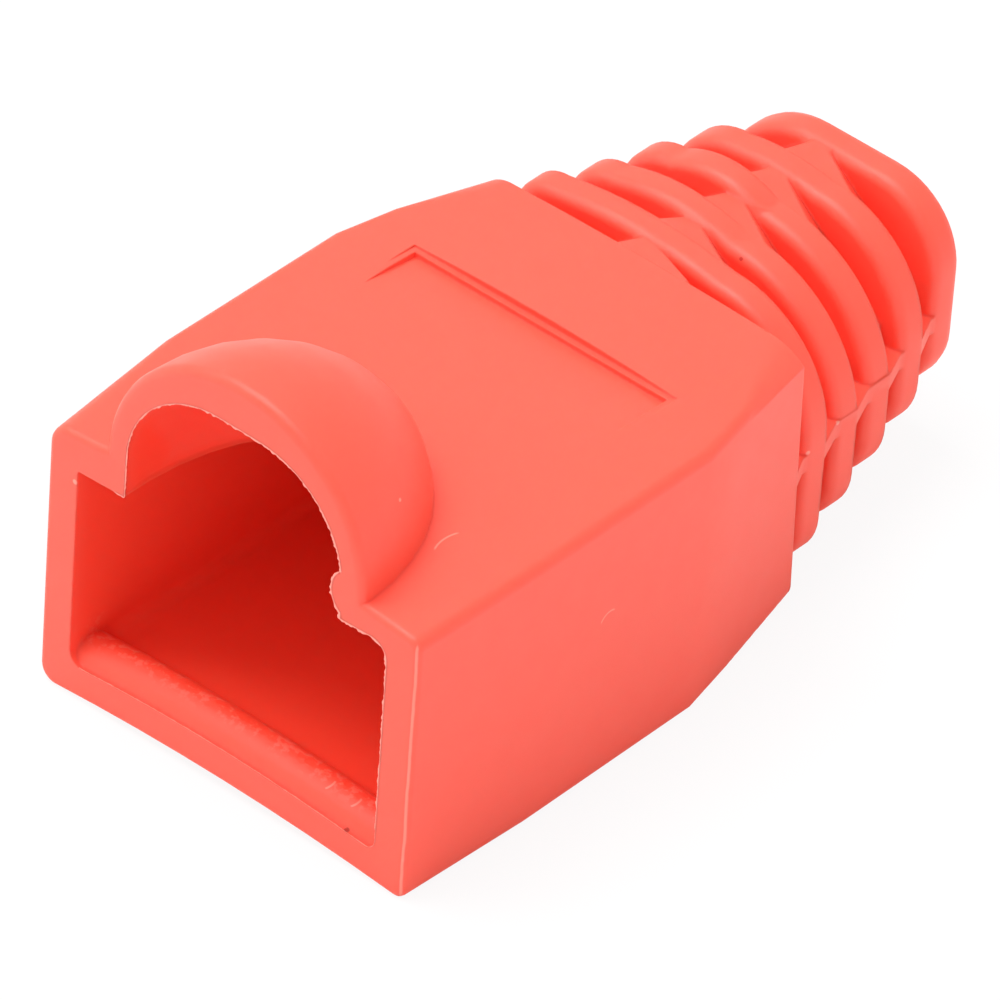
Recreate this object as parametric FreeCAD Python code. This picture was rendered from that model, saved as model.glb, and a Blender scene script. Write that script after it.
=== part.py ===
import FreeCAD, Part
"""Slip-on strain relief boot for an 8-way modular plug.

One soft moulding: a square mouth that takes the back of the plug, a domed hood over
the plug's latch, and a ribbed tail that lets the cable bend without kinking.

Frame, in millimetres: +Z up, +Y from the mouth towards the cable, X across the plug.
The origin is at the middle of the length and width, on the flat bottom.
"""
import math
import os

from FreeCAD import Vector

# ---- overall form ---------------------------------------------------------------
MOUTH_WIDTH = 14.0            # outside, across the mouth
KNEE_WIDTH = 14.45            # outside, where the sides start to draw in
BODY_HEIGHT = 9.52            # outside, bottom to the top edges
PINCH = 0.13                  # the top is drawn in this much at the rim
PINCH_LENGTH = 5.0            # over this length of the mouth
TOP_CROWN = 0.28              # the top is this much higher along its middle
LENGTH = 27.3                 # mouth to the end of the collar
KNEE_Y = 12.2                 # where the sides start to draw in
ROLL_Y = 14.3                 # where the top edges start to roll down
ROOT_Y = 17.7                 # rear face of the body, measured at half height
ROOT_RISE = 0.1               # the bottom has lifted this much at the rear face
COLLAR_WIDTH = 8.3            # outside, at the cable end
COLLAR_TOP = 8.93             # height of the top of the collar
COLLAR_BOTTOM = 1.55          # height of its underside
BODY_EDGE = 0.35              # rounding along the four long edges of the body
MOUTH_CORNERS = (0.4, 0.8, 0.6, 0.35)   # at the rim: top right, top left, low left, low right
ROOT_LEAN = 3.0               # degrees; the rear face leans back towards the bottom
REAR_LIFT = 0.08              # the top has risen this much at the rear
REAR_CROWN = 0.02             # what is left there of the crown
REAR_LOW_EDGE = 0.7           # the bottom rounding has grown to this at the rear
REAR_CORNERS = (3.0, 1.55)    # and the top's right and left edges to these
REAR_SPANS = (1.75, 1.5)      # how much of those radii shows before the sides cut them
RIM_ROUND = 0.2               # outer edge of the mouth
UNDER_BOW = 0.28              # the soft bottom wall arches up this much at the mouth

# ---- walls and the way through ----------------------------------------------------
SIDE_WALL = 1.14
TOP_WALL = 1.1
BOTTOM_WALL = 1.2
POCKET_CORNER = 0.35
POCKET_CORNERS = (0.6, 0.1, 0.5, 0.35)  # at the rim: top right, top left, low left, low right
CEILING_TILT = 0.24           # at the rim the ceiling is higher on the right, lower on the left
FLOOR_BOW = 0.25              # the floor arches up this much at the rim
POCKET_DEPTH = 12.8           # the plug's body seats this far in
FUNNEL_END = 18.2             # the pocket has narrowed to the cable bore here
BORE_RADIUS = 2.75
BORE_LEAD = 0.3               # chamfer at the cable's way out
LIP_HEIGHT = 0.55             # ridge behind the mouth that holds the plug's bottom edge
LIP_WIDTH = 1.5
LIP_SETBACK = 0.15

# ---- latch hood -------------------------------------------------------------------
HOOD_RADIUS = 4.88            # outside, seen from the mouth
HOOD_LENGTH = 6.3             # from the mouth to the back of the dome
HOOD_AXIS_Z = 9.57
HOOD_RIM_ROUND = 0.3          # outer edge at the mouth
HOOD_WALL = 0.8               # at its sides, seen from the mouth
HOOD_TOP_WALL = 1.45          # at its crown
HOLLOW_FOOT_Z = 8.9           # the hollow shrinks towards this height at its back
HOLLOW_LENGTH = 6.2
HOLLOW_CORNER = 3.35          # shoulders of the arch: squarer than a half circle
HOLLOW_POWER = 2.25           # its plan is fuller than an ellipse, whose power is 2
NUB_RADIUS = 0.9              # bump at the arch's right foot
NUB_REACH = 0.38              # it stands this far into the arch
NUB_Z = 9.55
NUB_LENGTH = 1.5

# ---- sunk panel on the top --------------------------------------------------------
PANEL_WIDTH = 10.0
PANEL_START = 9.6             # level with the top here
PANEL_END = 13.2              # deepest here
PANEL_DEPTH = 0.38
PANEL_STEP = 0.22             # depth of the narrow ledge round it
PANEL_LEDGE = 0.2             # width of that ledge

# ---- ribbed tail ------------------------------------------------------------------
RIB_THICKNESS = 0.97          # along the tail; the grooves take what is left of the pitch
RIB_SHIFT = 0.27              # the ribs stand this far towards the mouth of an even pitch
RIB_TOPS = (9.2, 8.95, 8.87, 8.83, 8.93)    # four ribs and the collar, at their shoulders
RIB_CROWNS = (0.27, 0.25, 0.2, 0.12, 0.0)   # they are this much higher at the middle
RIB_RIGHT = (3.85, 4.5, 4.6, 3.8, 2.6)      # top right rounding of each
RIB_LEFT = (1.35, 1.65, 1.85, 2.25, 3.1)    # top left
RIB_LOW = (1.9, 2.0, 2.1, 2.2, 2.4)         # the lower two
RIB_NOSE = 0.35               # rounding on the side of each rib that faces the mouth
SPINE_NEAR = (-1.05, 1.5)     # left and right folds of the spine, mouth side of a groove
SPINE_FAR = (-0.85, -0.15)    # and cable side
SPINE_DROP = 0.06             # the spine dips this much before the next rib
FIN_INSET = 0.02              # the ledges and the lower spine stay this far inside the ribs
RAMP_ANGLE = 40.0             # the groove floors fall away from the spine this steeply
CORE_INSET = 0.85             # depth of the grooves at the sides
FIN_HEIGHT = 4.72             # middle of the ledge along each side
FIN_THICKNESS = 0.6           # ledge along each side
COLLAR_ROUND = 0.4            # outer edge at the cable's way out

# ---- values that follow -----------------------------------------------------------
HALF_MOUTH = MOUTH_WIDTH / 2
HALF_KNEE = KNEE_WIDTH / 2
HALF_COLLAR = COLLAR_WIDTH / 2
SIDE_TAPER = (HALF_KNEE - HALF_COLLAR) / (LENGTH - KNEE_Y)
BODY_RISE = ROOT_RISE / (ROOT_Y - KNEE_Y)
TAIL_RISE = (COLLAR_BOTTOM - ROOT_RISE) / (LENGTH - ROOT_Y)
AXIS_Z = (COLLAR_TOP + COLLAR_BOTTOM) / 2
LEAN_SLOPE = math.tan(math.radians(ROOT_LEAN))
RIB_COUNT = len(RIB_TOPS)
RIB_PITCH = (LENGTH - ROOT_Y) / RIB_COUNT
OVERLAP = 0.6                 # how far joined pieces run into each other
TOUCH = 0.05                  # small against every feature
EIGHTH = 2 - math.sqrt(2)     # corner cut of an octagon, over its half width
BIG = 4 * LENGTH
ROUND_STEPS = 3               # bands in a quarter round on a moulded edge
DOME_STEPS = 9                # bands from the mouth to the back of the dome


def half_width(y):
    if y < PINCH_LENGTH:
        return HALF_MOUTH + (HALF_KNEE - HALF_MOUTH) * y / PINCH_LENGTH
    return HALF_KNEE - SIDE_TAPER * max(0.0, y - KNEE_Y)


def bottom_z(y):
    if y < ROOT_Y:
        return BODY_RISE * max(0.0, y - KNEE_Y)
    return ROOT_RISE + TAIL_RISE * (y - ROOT_Y)


def corner(cx, cz, radius, start, end):
    """Arc in an XZ plane about (cx, cz), angles in degrees from +X towards +Z."""
    def at(angle):
        a = math.radians(angle)
        return cx + radius * math.cos(a), cz + radius * math.sin(a)
    return at(start), at((start + end) / 2), at(end)


def quarter_round(radius):
    """(forward, inset) steps round a convex edge, from its face to its side."""
    angles = [math.pi / 2 * step / ROUND_STEPS for step in range(ROUND_STEPS + 1)]
    return [(radius * (1 - math.cos(a)), radius * (1 - math.sin(a))) for a in angles]


def section(y, half, low, high, radii, spans=None, crown=0.0, bow=0.0, tilt=0.0, inset=0.0):
    """Closed wire with rounded corners at station y.

    radii are those of the top right, top left, low left and low right corners. spans are
    how much of the top two lies inside the flat sides: less than the radius leaves a
    crease where the side cuts the rounding. crown and bow arch the top and the bottom
    up along the middle. tilt lifts the top's right end and lowers its left. inset draws
    the whole outline in.
    """
    half, low, high = half - inset, low + inset, high - inset
    right_r, left_r, left_low_r, right_low_r = [radius - inset for radius in radii]
    right_span, left_span = spans or (right_r, left_r)
    right_cut = math.degrees(math.acos(right_span / right_r))
    left_cut = math.degrees(math.acos(left_span / left_r))
    right_top = corner(half - right_span, high + tilt - right_r, right_r, right_cut, 90)
    left_top = corner(left_span - half, high - tilt - left_r, left_r, 90, 180 - left_cut)
    left_low = corner(left_low_r - half, low + left_low_r, left_low_r, 180, 270)
    right_low = corner(half - right_low_r, low + right_low_r, right_low_r, 270, 360)

    def v(point):
        return Vector(point[0], y, point[1])

    def arc(points):
        return Part.Arc(v(points[0]), v(points[1]), v(points[2])).toShape()

    def line(a, b):
        return Part.makeLine(v(a), v(b))

    def arched(a, b, rise):
        if rise == 0:
            return line(a, b)
        return arc((a, (0.0, a[1] + rise), b))

    return Part.Wire([
        arc(right_top), arched(right_top[2], left_top[0], crown), arc(left_top),
        line(left_top[2], left_low[0]), arc(left_low),
        arched(left_low[2], right_low[0], bow), arc(right_low),
        line(right_low[2], right_top[0]),
    ])


def mirrored_polygon(y, right):
    """Closed outline at station y from its right-hand (x, z) points, top to bottom."""
    left = [(-x, z) for x, z in reversed(right)]
    points = [Vector(x, y, z) for x, z in right + left]
    return Part.makePolygon(points + points[:1])


def before_rear_face():
    """Everything on the mouth side of the leaning rear face."""
    box = Part.makeBox(BIG, BIG, BIG, Vector(-BIG / 2, -BIG, -BIG / 2))
    box.rotate(Vector(0, 0, 0), Vector(1, 0, 0), ROOT_LEAN)
    box.translate(Vector(0, ROOT_Y, AXIS_Z))
    return box


# ---- body -------------------------------------------------------------------------
def rim_share(y):
    """1 at the rim, fading to 0 where the body has taken its full form."""
    return max(0.0, 1 - y / PINCH_LENGTH)


def body_section(y, inset=0.0):
    share = rim_share(y)
    radii = [BODY_EDGE + (rim - BODY_EDGE) * share for rim in MOUTH_CORNERS]
    return section(y, half_width(y), bottom_z(y), BODY_HEIGHT - PINCH * share, radii,
                   crown=TOP_CROWN, bow=UNDER_BOW * share, inset=inset)


def make_body():
    """Rim, sides drawn in towards it, taper and leaning rear face."""
    end = ROOT_Y + OVERLAP + LEAN_SLOPE * BODY_HEIGHT
    radii = REAR_CORNERS + (REAR_LOW_EDGE, REAR_LOW_EDGE)
    rear = section(end, half_width(end), ROOT_RISE, BODY_HEIGHT + REAR_LIFT, radii,
                   spans=REAR_SPANS, crown=REAR_CROWN)
    rim = [body_section(y, inset) for y, inset in quarter_round(RIM_ROUND)]
    stations = [body_section(y) for y in (PINCH_LENGTH, KNEE_Y, ROLL_Y)]
    return Part.makeLoft(rim + stations + [rear], True, True).common(before_rear_face())


# ---- tail -------------------------------------------------------------------------
def rib_start(index):
    return ROOT_Y - RIB_SHIFT + (index + 1) * RIB_PITCH - RIB_THICKNESS


def rib_end(index):
    """Rear face of a rib; the collar, which is the last, reaches the end of the tail."""
    return LENGTH if index == RIB_COUNT - 1 else rib_start(index) + RIB_THICKNESS


def make_rib(index):
    """A slab of the tail's outline with a soft edge towards the mouth."""
    start, end = rib_start(index), rib_end(index)
    radii = (RIB_RIGHT[index], RIB_LEFT[index], RIB_LOW[index], RIB_LOW[index])

    def outline(y, inset):
        return section(y, half_width(end), bottom_z(end), RIB_TOPS[index], radii,
                       crown=RIB_CROWNS[index], inset=inset)

    near = [outline(start + forward, inset) for forward, inset in quarter_round(RIB_NOSE)]
    if end < LENGTH:
        return Part.makeLoft(near + [outline(end, 0.0)], True, True)
    far = [outline(end - back, inset) for back, inset in reversed(quarter_round(COLLAR_ROUND))]
    return Part.makeLoft(near + far, True, True)


def core_section(y, follow, folds, top, fall):
    """Cross-shaped section between the ribs: spines above and below, a fin each side.

    Its sides and underside follow the tail's outline at station follow. folds are the
    left and right ends of the spines, top the height of the upper one at its left fold,
    and fall how much lower its right fold lies.
    """
    left, right = folds
    half = half_width(follow) - FIN_INSET
    inner = half - CORE_INSET
    low = bottom_z(follow) + FIN_INSET
    ledge = FIN_HEIGHT + FIN_THICKNESS / 2
    under = FIN_HEIGHT - FIN_THICKNESS / 2
    slope = math.tan(math.radians(RAMP_ANGLE))
    right_foot = max(top - fall - slope * (inner - right), ledge + FIN_THICKNESS / 2)
    left_foot = max(top - slope * (inner + left), ledge + FIN_THICKNESS / 2)
    right_brow = min(low + slope * (inner - right), under - FIN_THICKNESS / 2)
    left_brow = min(low + slope * (inner + left), under - FIN_THICKNESS / 2)
    outline = [(right, top - fall), (inner, right_foot), (inner, ledge), (half, ledge),
               (half, under), (inner, under), (inner, right_brow), (right, low),
               (left, low), (-inner, left_brow), (-inner, under), (-half, under),
               (-half, ledge), (-inner, ledge), (-inner, left_foot), (left, top)]
    points = [Vector(x, y, z) for x, z in outline]
    return Part.makePolygon(points + points[:1])


def shoulder_fall(index):
    """How far below its crown a rib's surface lies at the spine's right fold."""
    radius = RIB_RIGHT[index]
    past = max(0.0, SPINE_NEAR[1] - half_width(rib_end(index)) + radius)
    return RIB_CROWNS[index] + radius - math.sqrt(radius ** 2 - past ** 2) + FIN_INSET


def make_core():
    sections = [core_section(ROOT_Y - OVERLAP, ROOT_Y, SPINE_NEAR, BODY_HEIGHT, 0.0)]
    start, top, fall = ROOT_Y, BODY_HEIGHT, 0.0
    for index in range(RIB_COUNT):
        end = rib_end(index)
        sections.append(core_section(start, start, SPINE_NEAR, top, fall))
        top, fall = RIB_TOPS[index] + RIB_CROWNS[index], shoulder_fall(index)
        sections.append(core_section(rib_start(index), end, SPINE_FAR, top - SPINE_DROP, 0.0))
        start = end
    sections.append(core_section(LENGTH - COLLAR_ROUND - OVERLAP, LENGTH, SPINE_FAR,
                                 top - SPINE_DROP, 0.0))
    return Part.makeLoft(sections, True, True)


# ---- hood -------------------------------------------------------------------------
def make_dome():
    """Half ellipsoid about an axis along Y, with its open edge rounded off."""
    meridian = [(y, HOOD_RADIUS - inset) for y, inset in quarter_round(HOOD_RIM_ROUND)]
    for step in range(1, DOME_STEPS + 1):
        angle = math.pi / 2 * step / DOME_STEPS
        meridian.append((HOOD_RIM_ROUND + (HOOD_LENGTH - HOOD_RIM_ROUND) * math.sin(angle),
                         HOOD_RADIUS * math.cos(angle)))
    points = [Vector(0, 0, HOOD_AXIS_Z)]
    points += [Vector(0, y, HOOD_AXIS_Z - radius) for y, radius in meridian]
    profile = Part.Face(Part.makePolygon(points + points[:1]))
    return profile.revolve(points[0], Vector(0, 1, 0), 360)


def make_hollow():
    """Room for the latch: a square-shouldered arch that closes in towards its back."""
    half = HOOD_RADIUS - HOOD_WALL
    rise = HOOD_AXIS_Z + HOOD_RADIUS - HOOD_TOP_WALL - HOLLOW_FOOT_Z
    floor = BODY_HEIGHT - TOP_WALL - OVERLAP

    def outline(y, reach):
        shrink = math.sqrt(1 - reach ** 2)
        plan = (1 - reach ** HOLLOW_POWER) ** (1 / HOLLOW_POWER)
        shoulder = HOLLOW_CORNER * shrink
        return section(y, half * plan, floor, HOLLOW_FOOT_Z + rise * shrink,
                       (shoulder, shoulder, TOUCH, TOUCH))

    outlines = [outline(-OVERLAP, 0.0)]
    for step in range(DOME_STEPS):
        reach = math.sin(math.pi / 2 * step / DOME_STEPS)
        outlines.append(outline(HOLLOW_LENGTH * reach, reach))
    nub = Part.makeCylinder(NUB_RADIUS, NUB_LENGTH + OVERLAP,
                            Vector(half - NUB_REACH + NUB_RADIUS, -OVERLAP, NUB_Z), Vector(0, 1, 0))
    return Part.makeLoft(outlines, True, True).cut(nub)


# ---- way through ------------------------------------------------------------------
def pocket_section(y, share):
    """Outline of the pocket; share is how much of the rim's soft form it has."""
    radii = [POCKET_CORNER + (rim - POCKET_CORNER) * share for rim in POCKET_CORNERS]
    return section(y, HALF_MOUTH - SIDE_WALL, BOTTOM_WALL, BODY_HEIGHT - TOP_WALL, radii,
                   bow=FLOOR_BOW * share, tilt=CEILING_TILT * share)


def funnel_section(y, half, low, high, cut):
    """Eight-sided outline: a rectangle with its corners cut off."""
    return mirrored_polygon(y, [(half - cut, high), (half, high - cut), (half, low + cut),
                                (half - cut, low)])


def make_way_through():
    """Pocket for the plug, funnel, cable bore and the lead at its end."""
    pocket = Part.makeLoft([pocket_section(-OVERLAP, 1.0), pocket_section(0, 1.0),
                            pocket_section(PINCH_LENGTH, 0.0), pocket_section(POCKET_DEPTH, 0.0)],
                           True, True)
    funnel = Part.makeLoft([funnel_section(POCKET_DEPTH - TOUCH, HALF_MOUTH - SIDE_WALL, BOTTOM_WALL,
                                           BODY_HEIGHT - TOP_WALL, POCKET_CORNER),
                            funnel_section(FUNNEL_END, BORE_RADIUS, AXIS_Z - BORE_RADIUS,
                                           AXIS_Z + BORE_RADIUS, EIGHTH * BORE_RADIUS)],
                           True, True)
    bore = Part.makeCylinder(BORE_RADIUS, LENGTH - FUNNEL_END + 2 * OVERLAP,
                             Vector(0, FUNNEL_END - OVERLAP, AXIS_Z), Vector(0, 1, 0))
    lead = Part.makeCone(BORE_RADIUS, BORE_RADIUS + 2 * BORE_LEAD, 2 * BORE_LEAD,
                         Vector(0, LENGTH - BORE_LEAD, AXIS_Z), Vector(0, 1, 0))
    return [pocket, funnel, bore, lead]


def make_lip():
    """Rounded ridge across the arched floor of the mouth: a profile swung about a far axis."""
    half = HALF_MOUTH - SIDE_WALL
    swing = (half ** 2 + FLOOR_BOW ** 2) / (2 * FLOOR_BOW)
    top = BOTTOM_WALL + FLOOR_BOW
    near, far = LIP_SETBACK, LIP_SETBACK + LIP_WIDTH
    crest = Part.Arc(Vector(0, near, top), Vector(0, (near + far) / 2, top + LIP_HEIGHT),
                     Vector(0, far, top)).toShape()
    base = Part.makePolygon([Vector(0, far, top), Vector(0, far, top - OVERLAP),
                             Vector(0, near, top - OVERLAP), Vector(0, near, top)])
    profile = Part.Face(Part.Wire([crest, base]))
    reach = math.degrees(math.asin((half + OVERLAP) / swing))
    centre = Vector(0, 0, top - swing)
    profile.rotate(centre, Vector(0, 1, 0), -reach)
    return profile.revolve(centre, Vector(0, 1, 0), 2 * reach)


def panel_wedge(half, end, depth):
    """Wedge level with the flat top at PANEL_START and sunk by depth at end."""
    top = BODY_HEIGHT + TOP_CROWN
    outline = [Vector(-half, PANEL_START, top), Vector(-half, end, top - depth),
               Vector(-half, end, top + OVERLAP), Vector(-half, PANEL_START, top + OVERLAP)]
    face = Part.Face(Part.makePolygon(outline + outline[:1]))
    return face.extrude(Vector(2 * half, 0, 0))


def make_panel():
    """Sunk panel with a narrow ledge part of the way down its sides and far end."""
    half = PANEL_WIDTH / 2
    inner = panel_wedge(half - PANEL_LEDGE, PANEL_END - PANEL_LEDGE, PANEL_DEPTH)
    return panel_wedge(half, PANEL_END, PANEL_STEP).fuse(inner)


def build():
    outer = make_body().fuse([make_dome(), make_core()]
                             + [make_rib(index) for index in range(RIB_COUNT)])
    return outer.cut(make_way_through() + [make_hollow(), make_panel()]).fuse(make_lip())


boot = build()
boot.translate(Vector(0, -LENGTH / 2, 0))
os.makedirs("parts", exist_ok=True)
boot.exportStep("parts/strain_relief_boot.step")
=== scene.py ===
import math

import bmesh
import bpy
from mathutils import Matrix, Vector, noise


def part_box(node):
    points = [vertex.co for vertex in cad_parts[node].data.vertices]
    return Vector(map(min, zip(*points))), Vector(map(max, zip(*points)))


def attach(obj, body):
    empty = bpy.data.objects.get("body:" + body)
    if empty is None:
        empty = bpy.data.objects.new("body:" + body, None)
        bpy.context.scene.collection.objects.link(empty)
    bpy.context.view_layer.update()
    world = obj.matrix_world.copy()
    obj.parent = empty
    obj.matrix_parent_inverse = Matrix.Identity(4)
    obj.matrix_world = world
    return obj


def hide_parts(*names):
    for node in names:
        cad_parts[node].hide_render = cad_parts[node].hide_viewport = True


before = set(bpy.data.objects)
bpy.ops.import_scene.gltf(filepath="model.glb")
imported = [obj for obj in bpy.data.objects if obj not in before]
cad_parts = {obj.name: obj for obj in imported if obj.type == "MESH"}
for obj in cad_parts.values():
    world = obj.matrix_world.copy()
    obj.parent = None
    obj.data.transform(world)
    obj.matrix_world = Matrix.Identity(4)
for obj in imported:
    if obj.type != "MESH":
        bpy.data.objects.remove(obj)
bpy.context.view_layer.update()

# %% [markdown]
# A strain relief boot slips over the back of a modular plug and keeps the cable from
# kinking. It is one soft PVC moulding: a square mouth, a hood over the plug's latch, a
# flat top with a sunk panel, and a ribbed tail. The packed solid already holds every
# form, so Blender's work here is the skin: clean shading on the fillets, the small
# faults that a soft moulding has, and a plastic that lets a little light in.

MM = 0.001
low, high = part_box("strain_relief_boot")
print("solid, mm:", [round(v / MM, 2) for v in high - low])

# %% [markdown]
# The camera stands well back with a long lens, as for a small product on a table, so
# that lines that run along the boot stay nearly parallel. It looks down over the right
# shoulder of the mouth and is turned a few degrees about its own line of sight.

# %% Camera
CAMERA_AT = Vector((169.43, -212.31, 218.99)) * MM
CAMERA_RIGHT = Vector((0.74786, 0.66133, 0.05786))
CAMERA_DOWN = Vector((0.44718, -0.43743, -0.78018))
LENS = 432.0


def place_camera():
    data = bpy.data.cameras.new("camera")
    data.lens = LENS
    data.sensor_fit = "HORIZONTAL"
    camera = bpy.data.objects.new("camera", data)
    right = CAMERA_RIGHT.normalized()
    back = right.cross(-CAMERA_DOWN).normalized()
    up = back.cross(right)
    turn = Matrix((right, up, back)).transposed()
    camera.matrix_world = Matrix.Translation(CAMERA_AT) @ turn.to_4x4()
    bpy.context.scene.collection.objects.link(camera)
    bpy.context.scene.camera = camera
    return camera


camera = place_camera()
print("camera at, mm:", [round(v / MM, 1) for v in camera.location])

# %% [markdown]
# Shader nodes are easier to read as sums than as boxes and links. A Wire is a socket
# that can be added, multiplied and so on, and each sum on it adds one Math node. On top
# of the sums it has three kinds of mask, which say where something lies on the boot: a
# rise from 0 to 1, a fall from 1 to 0, and both together.

# %% A wire that does sums


class Wire:
    """An output socket that adds Math nodes when it is used in sums."""

    def __init__(self, owner, socket):
        self.owner = owner
        self.socket = socket

    def math(self, operation, first, second):
        return self.owner.node("ShaderNodeMath", {"operation": operation}, {0: first, 1: second})

    def __add__(self, other):
        return self.math("ADD", self, other)

    def __radd__(self, other):
        return self.math("ADD", other, self)

    def __sub__(self, other):
        return self.math("SUBTRACT", self, other)

    def __rsub__(self, other):
        return self.math("SUBTRACT", other, self)

    def __mul__(self, other):
        return self.math("MULTIPLY", self, other)

    def __rmul__(self, other):
        return self.math("MULTIPLY", other, self)

    def __abs__(self):
        return self.math("ABSOLUTE", self, 0.0)

    def past(self, start, full):
        """0 up to start, 1 from full on."""
        return self.owner.node("ShaderNodeMapRange", {"clamp": True},
                               {0: self, 1: start, 2: full})

    def within(self, full, end):
        """1 up to full, 0 from end on."""
        return 1.0 - self.past(full, end)

    def between(self, start, full, fade, end):
        """0 up to start, 1 from full to fade, 0 from end on."""
        return self.past(start, full) * self.within(fade, end)


print("Wire:", Wire.__doc__)

# %% [markdown]
# Every other node comes from Material.node, which takes its kind, its settings and its
# inputs. Places on the boot are read in millimetres, so that a mask's limits are the
# sizes that a ruler gives.

# %% A material made of wires


class Material:
    """A material and its node tree."""

    def __init__(self, name):
        self.data = bpy.data.materials.new(name)
        self.data.use_nodes = True
        self.tree = self.data.node_tree
        self.tree.nodes.clear()

    def node(self, kind, settings=None, sockets=None, out=0):
        made = self.tree.nodes.new(kind)
        for key, value in (settings or {}).items():
            setattr(made, key, value)
        for key, value in (sockets or {}).items():
            if isinstance(value, Wire):
                self.tree.links.new(value.socket, made.inputs[key])
            else:
                made.inputs[key].default_value = value
        return Wire(self, made.outputs[out]) if made.outputs else made

    def place(self):
        """The place on the object, in millimetres."""
        metres = self.node("ShaderNodeTexCoord", out=3)
        return self.node("ShaderNodeVectorMath", {"operation": "SCALE"},
                         {0: metres, "Scale": 1.0 / MM})

    def axes(self, place):
        """The x, y and z of a place."""
        split = self.node("ShaderNodeSeparateXYZ", {}, {0: place})
        return [Wire(self, output) for output in split.socket.node.outputs]

    def away(self, place, point):
        """Distance from a point."""
        return self.node("ShaderNodeVectorMath", {"operation": "DISTANCE"},
                         {0: place, 1: Vector(point)}, out=1)

    def noise(self, place, scale, detail, rough):
        return self.node("ShaderNodeTexNoise", {},
                         {"Vector": place, "Scale": scale, "Detail": detail, "Roughness": rough})

    def blend(self, share, first, second):
        """Mix of two colours."""
        return self.node("ShaderNodeMix", {"data_type": "RGBA"},
                         {0: share, 6: first, 7: second}, out=2)

    def finish(self, shader):
        self.node("ShaderNodeOutputMaterial", {}, {"Surface": shader})
        return self.data


print("a material has:", [name for name in vars(Material) if not name.startswith("_")])

# %% [markdown]
# Every moulding carries a few accidents: a hair of flash pressed flat, a nick, a speck
# of dust. Each is listed here by where it lies on the boot, in millimetres. A curved one
# is the part of a ring that falls inside a ball, a dot is a ball. They are coloured and
# not modelled, because none of them stands out by more than a hair's width. Two of the
# pale dots, on the tail's right side, are painted highlights of small bumps.

# %% Where the small marks are
CURVED_MARKS = [   # centre and radius of the ring, middle and reach of the ball
    ((5.86, -9.95, 9.64), 1.28, (4.60, -9.95, 9.64), 0.55),
    ((7.23, -5.54, 5.65), 0.43, (7.23, -5.66, 6.00), 0.33),
    ((3.10, -12.97, 2.20), 0.60, (3.62, -12.97, 1.87), 0.22),
    ((4.10, -12.97, 2.15), 0.60, (4.58, -12.97, 1.81), 0.22),
]
# pale dots: the second and third, on the tail's right side, are painted highlights of small bumps; the
# others are specks
PALE_DOTS_AND_GLINTS = [((4.13, -11.43, 11.62), 0.07), ((5.36, 6.74, 4.99), 0.09),
             ((5.73, 4.95, 5.09), 0.09), ((-5.94, -13.65, 7.74), 0.10)]
DARK_DOTS = [((1.33, 6.71, 8.77), 0.08), ((4.75, -13.55, 1.26), 0.10)]
MARK_WIDTH = 0.04
MARK_FULL = 0.4   # share of a curved mark's width that has its full colour
DOT_FULL = 0.6    # share of a dot's reach
BALL_FULL = 0.8   # share of a curved mark's ball


def strongest(masks):
    """The largest of several masks."""
    total = masks[0]
    for mask in masks[1:]:
        total = total.math("MAXIMUM", total, mask)
    return total


def dots(m, place, listed):
    """A mask with a small ball at each place."""
    return strongest([m.away(place, at).within(DOT_FULL * reach, reach) for at, reach in listed])


def curves(m, place, listed):
    """A mask with a short piece of a ring at each place."""
    masks = []
    for centre, radius, middle, reach in listed:
        ring = abs(m.away(place, centre) - radius).within(MARK_FULL * MARK_WIDTH, MARK_WIDTH)
        masks.append(ring * m.away(place, middle).within(BALL_FULL * reach, reach))
    return strongest(masks)


print("marks:", len(CURVED_MARKS) + len(PALE_DOTS_AND_GLINTS) + len(DARK_DOTS))

# %% [markdown]
# Parts of the boot differ in finish or carry painted light: the tail, where the mould is
# worn, the foot that the boot stands on, the pocket and the hollow under the hood, which get
# painted shade, the torn ridge across the mouth's floor, and a pale line down the mouth's
# right edge, partly flash and partly a painted highlight on the edge's rounding. Each is a
# mask made of sizes. The line wanders, so noise shifts it.

# %% Where the finish changes
# Where each mask rises and falls, in millimetres.
TAIL_FROM = (4.0, 4.4)
FOOT_UP_TO = (0.4, 0.9)
RIDGE_BEHIND_RIM = (0.45, 0.9, 1.2, 1.6)
RIDGE_UP = (1.3, 1.6, 2.2, 2.5)
RIDGE_HALF_WIDTH = (5.8, 5.9)
POCKET_BEHIND_RIM = (0.05, 0.6)
POCKET_UP = (0.9, 1.1, 8.5, 8.8)
POCKET_HALF_WIDTH = (5.9, 6.1)
HOLLOW_MIDDLE_UP = 9.0
HOLLOW_REACH = (4.25, 4.35)
PALE_LINE_FROM_SIDE = (0.24, 0.27, 0.31, 0.34)
PALE_LINE_BEHIND_RIM = (0.06, 0.10)
PALE_LINE_WANDER = 0.06


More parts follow.
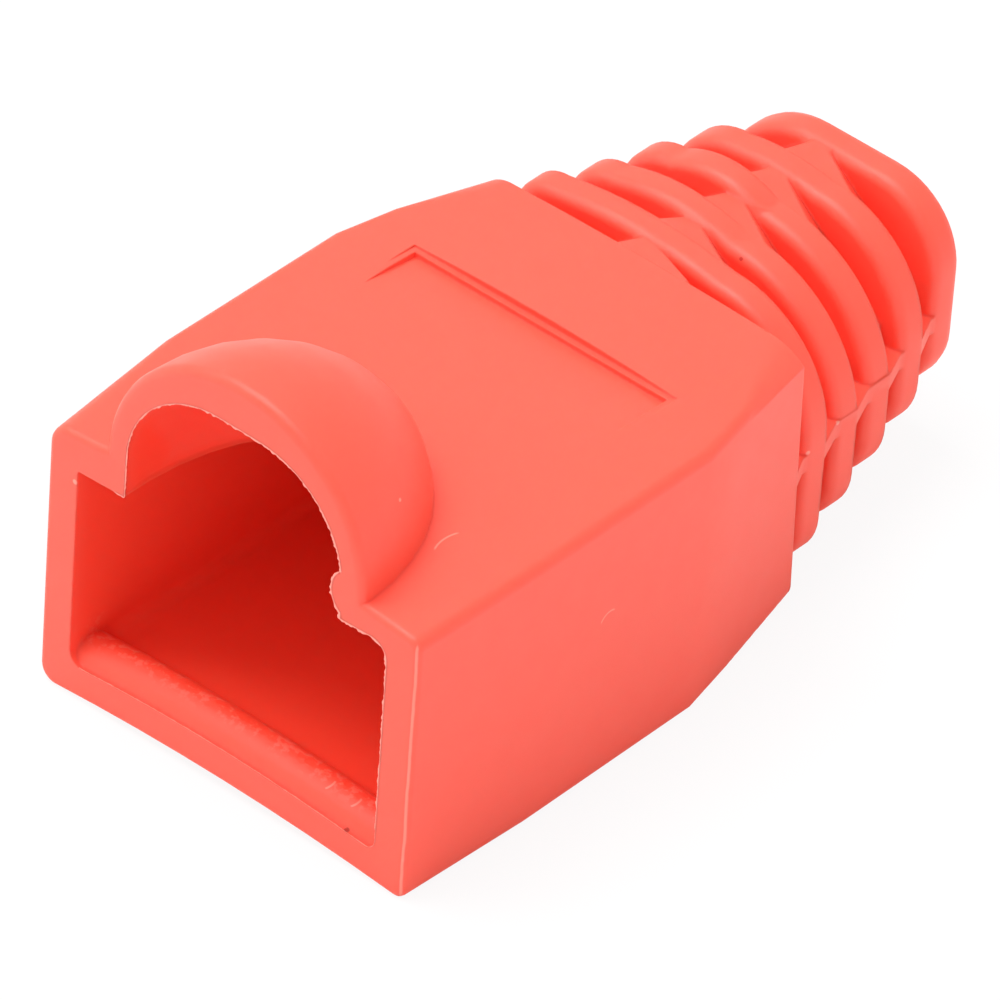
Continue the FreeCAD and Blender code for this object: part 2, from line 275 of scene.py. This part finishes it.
class Regions:
    """Masks over the boot, each 1 inside its region and 0 outside."""

    def __init__(self, m, place, unevenness):
        x, y, z = m.axes(place)
        behind_rim = y - low.y / MM
        self.tail = y.past(*TAIL_FROM)
        self.foot = z.within(*FOOT_UP_TO)
        self.ridge = (behind_rim.between(*RIDGE_BEHIND_RIM) * z.between(*RIDGE_UP)
                      * abs(x).within(*RIDGE_HALF_WIDTH))
        self.pocket = (behind_rim.past(*POCKET_BEHIND_RIM) * z.between(*POCKET_UP)
                       * abs(x).within(*POCKET_HALF_WIDTH) * (1.0 - self.tail))
        hollow_middle = (0.0, low.y / MM, HOLLOW_MIDDLE_UP)
        self.hollow = (behind_rim.past(*POCKET_BEHIND_RIM)
                       * m.away(place, hollow_middle).within(*HOLLOW_REACH))
        # The pale line is partly flash and partly a painted highlight where the right edge's rounding
        # catches the light.
        from_side = high.x / MM - (x + PALE_LINE_WANDER * unevenness)
        self.flash_and_highlight_line = (from_side.between(*PALE_LINE_FROM_SIDE)
                          * behind_rim.within(*PALE_LINE_BEHIND_RIM))


print("pale line, mm from the right side:", PALE_LINE_FROM_SIDE)

# %% [markdown]
# Soft red PVC is dyed through, semi-matt from a blasted mould, and slightly milky: light
# goes in a fraction of a millimetre and comes out redder, so the grooves glow instead of
# going grey. The pocket and the hollow under the hood are painted a deeper red, as painted
# shade. Where the moulding is scratched or torn it goes pale, as bent PVC does.

# %% Colours
PVC_RED = (0.97, 0.098, 0.058, 1.0)
POCKET_SHADE_RED = (0.99, 0.078, 0.038, 1.0)
PALE_RED = (1.0, 0.30, 0.23, 1.0)
DARK_RED = (0.50, 0.020, 0.010, 1.0)
MARK_PALENESS = 0.7
TEAR_PALENESS = 0.35
TORN_LUMPS = (0.52, 0.6)   # lumps past these heights are torn ones


def boot_colour(m, place, regions, lumps):
    """The dyed red, with painted shade that makes it deeper inside, and the pale and dark marks on it.
    """
    # the pale line mixed in here is partly flash and partly a painted highlight
    pale = strongest([MARK_PALENESS * curves(m, place, CURVED_MARKS), dots(m, place, PALE_DOTS_AND_GLINTS),
                      MARK_PALENESS * regions.flash_and_highlight_line,
                      TEAR_PALENESS * regions.ridge * lumps.past(*TORN_LUMPS)])
    # painted shade: the pocket and the hollow under the hood are given a deeper red
    colour = m.blend(strongest([regions.pocket, regions.hollow]), PVC_RED, POCKET_SHADE_RED)
    colour = m.blend(pale, colour, PALE_RED)
    return m.blend(dots(m, place, DARK_DOTS), colour, DARK_RED)


print("outside:", PVC_RED[:3], "inside:", POCKET_SHADE_RED[:3])

# %% [markdown]
# A soft moulding has no sharp edges. A Bevel node turns the light round each one, more on
# the tail, at the foot and in the pocket than on the body. The ridge in the mouth is torn
# a little where the core pulls out of it, so its crest is lumpy; elsewhere there is only
# the faint unevenness of a moulded skin.

# %% Surface
BODY_SOFTNESS = 0.10      # how far the light turns round an edge, in millimetres
TAIL_SOFTNESS = 0.17
FOOT_SOFTNESS = 0.30
POCKET_SOFTNESS = 0.50
EDGE_SAMPLES = 3
PEEL_HEIGHT = 0.25
LUMP_HEIGHT = 2.4
BUMP_STRENGTH = 0.35
BUMP_DISTANCE = 0.06


def boot_normal(m, regions, orange_peel, lumps):
    """Soft edges, with the skin's unevenness on top."""
    softness = (BODY_SOFTNESS + (TAIL_SOFTNESS - BODY_SOFTNESS) * regions.tail
                + (FOOT_SOFTNESS - BODY_SOFTNESS) * regions.foot
                + (POCKET_SOFTNESS - BODY_SOFTNESS) * regions.pocket) * MM
    edges = m.node("ShaderNodeBevel", {"samples": EDGE_SAMPLES}, {"Radius": softness})
    height = PEEL_HEIGHT * orange_peel + LUMP_HEIGHT * regions.ridge * lumps
    return m.node("ShaderNodeBump", {}, {"Strength": BUMP_STRENGTH, "Distance": BUMP_DISTANCE * MM,
                                         "Height": height, "Normal": edges})


print("softness, mm:", BODY_SOFTNESS, TAIL_SOFTNESS, FOOT_SOFTNESS, POCKET_SOFTNESS)

# %% [markdown]
# The plastic itself is one Principled shader. Its sheen is soft and very slightly uneven,
# and the light that goes in travels furthest as red.

# %% Soft red PVC
PEEL = (1.1, 1.0, 0.5)    # waves to a millimetre, detail, roughness of the detail
LUMPS = (3.4, 2.0, 0.7)
SHEEN = 0.44
SHEEN_SPREAD = 0.10
MILKINESS = 0.45
LIGHT_REACH = 1.0         # how far red light travels inside, in millimetres
REACH_BY_COLOUR = (1.0, 0.12, 0.06)
PLASTIC_IOR = 1.5


def soft_pvc():
    m = Material("soft_red_pvc")
    place = m.place()
    orange_peel = m.noise(place, *PEEL)
    lumps = m.noise(place, *LUMPS)
    regions = Regions(m, place, orange_peel)
    shader = m.node("ShaderNodeBsdfPrincipled", {"subsurface_method": "RANDOM_WALK"},
                    {"Base Color": boot_colour(m, place, regions, lumps),
                     "Roughness": SHEEN + SHEEN_SPREAD * orange_peel,
                     "Normal": boot_normal(m, regions, orange_peel, lumps),
                     "Subsurface Weight": MILKINESS, "Subsurface Radius": REACH_BY_COLOUR,
                     "Subsurface Scale": LIGHT_REACH * MM, "IOR": PLASTIC_IOR})
    return m.finish(shader)


pvc = soft_pvc()
print("material:", pvc.name, "nodes:", len(pvc.node_tree.nodes))

# %% [markdown]
# Flash is a film of the same plastic, so thin that it goes pale all through.

# %% Pale flash
FLASH_ROUGHNESS = 0.5


def pale_flash():
    m = Material("pale_flash")
    shader = m.node("ShaderNodeBsdfPrincipled", {},
                    {"Base Color": PALE_RED, "Roughness": FLASH_ROUGHNESS, "IOR": PLASTIC_IOR})
    return m.finish(shader)


flash_pvc = pale_flash()
print("material:", flash_pvc.name)

# %% [markdown]
# The packed mesh is loose triangles. A copy with its doubles merged can be shaded
# smoothly across each rounding and stay crisp at each true edge. Each corner's normal is
# the average of the faces round it that turn by less than a set angle, and a large face
# counts for more than a sliver, so flat walls stay flat right up to their edges.

# %% The boot's skin
MERGE = 0.0005            # millimetres
CRISP_ANGLE = math.radians(32)


def merged_copy(node_name):
    """A packed node's mesh with its doubles merged."""
    form = bmesh.new()
    form.from_mesh(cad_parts[node_name].data)
    bmesh.ops.remove_doubles(form, verts=form.verts, dist=MERGE * MM)
    bmesh.ops.dissolve_degenerate(form, dist=MERGE * MM, edges=form.edges)
    return form


def soften_normals(mesh):
    """Corner normals averaged by area over the faces that turn by less than CRISP_ANGLE."""
    around = [[] for _ in mesh.vertices]
    for face in mesh.polygons:
        for vertex in face.vertices:
            around[vertex].append(face)
    limit = math.cos(CRISP_ANGLE)
    normals = []
    for face in mesh.polygons:
        for vertex in face.vertices:
            total = Vector()
            for other in around[vertex]:
                if face.normal.dot(other.normal) > limit:
                    total += other.normal * other.area
            normals.append(total.normalized())
    mesh.polygons.foreach_set("use_smooth", [True] * len(mesh.polygons))
    mesh.normals_split_custom_set(normals)


skin = merged_copy("strain_relief_boot")
print("skin faces:", len(skin.faces))

# %% [markdown]
# Where the core closes against the cavity plate, a little PVC creeps between them and is
# left as a ragged rim of flash along the opening. It shows under the hood's arch and down
# the right-hand wall, as a pale line that is never quite straight, and as a trace of one
# across the floor. The line that it grows from is read off the skin: the opening's edges
# are the ones in the rim's plane whose other face runs into the boot, and not outwards
# with the rim's rounding.

# %% The line of the opening
FLASH_STEP = 0.05         # millimetres between points
RIM_PLANE = 0.002         # how far from the rim's plane an edge may lie, in millimetres
FACES_MOUTH = -0.99       # the rim's own face looks out of the mouth
FACES_ACROSS = -0.3       # the face behind an opening's edge looks across the mouth


def opening_loop(form):
    """Points round the mouth's inner edge, in order."""
    joined = {}
    for edge in form.edges:
        if max(vert.co.y for vert in edge.verts) > low.y + RIM_PLANE * MM or len(edge.link_faces) != 2:
            continue
        facing = sorted(face.normal.y for face in edge.link_faces)
        if facing[0] < FACES_MOUTH and facing[1] > FACES_ACROSS:
            first, second = edge.verts
            joined.setdefault(first, []).append(second)
            joined.setdefault(second, []).append(first)
    start = min(joined, key=lambda vert: vert.co.x)
    loop, here, last = [start], joined[start][0], start
    while here is not start:
        loop.append(here)
        last, here = here, [vert for vert in joined[here] if vert is not last][0]
    return [vert.co.copy() for vert in loop]


def resampled(points, step):
    """Points at even steps along a closed line."""
    made, carry = [], 0.0
    for a, b in zip(points, points[1:] + points[:1]):
        length = (b - a).length
        while carry < length:
            made.append(a.lerp(b, carry / length))
            carry += step
        carry -= length
    return made


opening = resampled(opening_loop(skin), FLASH_STEP * MM)
print("points along the opening:", len(opening))

# %% [markdown]
# The flash is a thin strip with three sides: a root sunk in the rim, a lip that stands
# into the opening, and a back edge behind it. Its height comes from a slow noise and a
# fast one, and from where it is: full on the arch's right side, less down the wall, a
# trace on the floor and none on the left, where the opening's line starts and ends. Each
# unbroken stretch is three lines of points, and bridging the lines closes the strip.

# %% Flash along the opening
FLASH_HEIGHT = 0.13       # the strip's section, in millimetres
FLASH_ROOT = 0.02
FLASH_DEPTH = 0.08
FLASH_SLOPE = 0.01
FLASH_MEAN = 0.45         # shares of the height
FLASH_LEAST = 0.25
FLASH_WAVES = ((3.6, 0.5), (11.0, 0.6))   # waves to a millimetre, and their share
FLASH_MATERIAL = 1        # the boot's second material
FLASH_STRETCHES = [   # x from and to, z from and to, share of the full height
    (-4.5, -3.0, 8.0, 15.0, 0.5),
    (-3.0, -1.0, 8.0, 15.0, 0.7),
    (-1.0, 8.0, 8.0, 15.0, 1.0),
    (5.0, 8.0, 2.0, 8.0, 0.6),
    (-5.5, 8.0, 0.0, 2.0, 0.2),
]
OPENING_MIDDLE = Vector((0.0, low.y, 6.0 * MM))
INTO_BOOT = Vector((0, 1, 0))


def flash_share(point):
    """How much flash there is at a point of the opening."""
    x, z = point.x / MM, point.z / MM
    for x_from, x_to, z_from, z_to, share in FLASH_STRETCHES:
        if x_from < x <= x_to and z_from < z <= z_to:
            return share
    return 0.0


def flash_section(point, along, share):
    """The root, lip and back edge of the strip at a point."""
    inwards = along.cross(INTO_BOOT)
    if inwards.dot(OPENING_MIDDLE - point) < 0:
        inwards.negate()
    ragged = FLASH_MEAN
    for waves, weight in FLASH_WAVES:
        ragged += weight * noise.noise(point * (waves / MM))
    height = FLASH_HEIGHT * MM * share * max(FLASH_LEAST, min(1.0, ragged))
    root = point - inwards * FLASH_ROOT * MM
    return (root, point + inwards * height + INTO_BOOT * FLASH_SLOPE * MM,
            root + INTO_BOOT * FLASH_DEPTH * MM)


def flash_runs(points):
    """The sections of each unbroken stretch of flash."""
    runs = [[]]
    for index, point in enumerate(points):
        share = flash_share(point)
        if share > 0.0:
            along = (points[(index + 1) % len(points)] - points[index - 1]).normalized()
            runs[-1].append(flash_section(point, along, share))
        elif runs[-1]:
            runs.append([])
    return [run for run in runs if len(run) > 1]


def add_flash(form, run):
    """Adds the strip along one stretch of sections."""
    lines = [[form.verts.new(place) for place in line] for line in zip(*run)]
    edges = [form.edges.new(pair) for line in lines for pair in zip(line, line[1:])]
    faces = bmesh.ops.bridge_loops(form, edges=edges, use_cyclic=True)["faces"]
    faces += [form.faces.new([line[end] for line in lines]) for end in (0, -1)]
    bmesh.ops.recalc_face_normals(form, faces=faces)
    for face in faces:
        face.material_index = FLASH_MATERIAL
    return len(faces)


print("flash faces:", [add_flash(skin, run) for run in flash_runs(opening)])

# %% [markdown]
# The finished skin stands in for the packed node, which stays, hidden.

# %% The boot
mesh = bpy.data.meshes.new("boot")
skin.to_mesh(mesh)
skin.free()
soften_normals(mesh)
boot = bpy.data.objects.new("boot", mesh)
bpy.context.scene.collection.objects.link(boot)
for material in (pvc, flash_pvc):
    boot.data.materials.append(material)
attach(boot, "root")
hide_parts("strain_relief_boot")
print("boot faces:", len(boot.data.polygons))

# %% [markdown]
# The table is a plain white sheet. Seen straight on it is pure white, but it still takes
# a share of the boot's shadow, so the boot doesn't float.

# %% White table
TABLE_HALF = 1.2          # metres
TABLE_PAINT = (0.9, 0.9, 0.9, 1.0)
WHITE = (1.0, 1.0, 1.0, 1.0)
SHADOW_SHARE = 0.10


def white_table():
    form = bmesh.new()
    bmesh.ops.create_grid(form, x_segments=1, y_segments=1, size=TABLE_HALF)
    mesh = bpy.data.meshes.new("table")
    form.to_mesh(mesh)
    form.free()
    table = bpy.data.objects.new("table", mesh)
    bpy.context.scene.collection.objects.link(table)
    m = Material("white_table")
    seen_straight_on = m.node("ShaderNodeLightPath")
    lit = m.node("ShaderNodeBsdfDiffuse", {}, {"Color": TABLE_PAINT})
    white = m.node("ShaderNodeEmission", {}, {"Color": WHITE, "Strength": 1.0})
    paint = m.node("ShaderNodeMixShader", {},
                   {0: seen_straight_on * (1.0 - SHADOW_SHARE), 1: lit, 2: white})
    table.data.materials.append(m.finish(paint))
    return table


table = white_table()
print("table half width, m:", TABLE_HALF)

# %% [markdown]
# The light is that of a white cloth tent: an even white world, one large soft lamp
# overhead, a little to the left and in front, and a weaker one lower on the left. A small
# part needs large lamps, because its sheen should be broad and calm.

# %% Lamps
LAMP_WIDTH = 0.40         # lamps are sized and placed in metres
OVERHEAD_AT = Vector((-0.18, -0.08, 0.58))
OVERHEAD_WATTS = 3.0
LEFT_AT = Vector((-0.45, -0.35, 0.35))
LEFT_WATTS = 0.5


def soft_lamp(name, at, watts):
    """A round lamp that points at the boot's middle."""
    data = bpy.data.lights.new(name, "AREA")
    data.shape = "DISK"
    data.size = LAMP_WIDTH
    data.energy = watts
    lamp = bpy.data.objects.new(name, data)
    lamp.location = at
    lamp.rotation_euler = ((low + high) / 2 - at).to_track_quat("-Z", "Y").to_euler()
    bpy.context.scene.collection.objects.link(lamp)
    return lamp


lamps = [soft_lamp("overhead", OVERHEAD_AT, OVERHEAD_WATTS),
         soft_lamp("left_fill", LEFT_AT, LEFT_WATTS)]
print("lamps:", [lamp.name for lamp in lamps])

# %% [markdown]
# The tent is the world's own colour. The picture's colours are left as they are, with
# the Standard view.

# %% The tent
TENT_LIGHT = 0.8

world = bpy.data.worlds.new("tent")
bpy.context.scene.world = world
world.use_nodes = True
tent = world.node_tree.nodes["Background"]
tent.inputs["Color"].default_value = WHITE
tent.inputs["Strength"].default_value = TENT_LIGHT
bpy.context.scene.view_settings.view_transform = "Standard"
print("tent light:", TENT_LIGHT)

# %% [markdown]
# The boot keeps the size of the packed solid, since its skin is the solid's own mesh.
# The visual model has to keep the size of the packed solid.

# %% Sizes
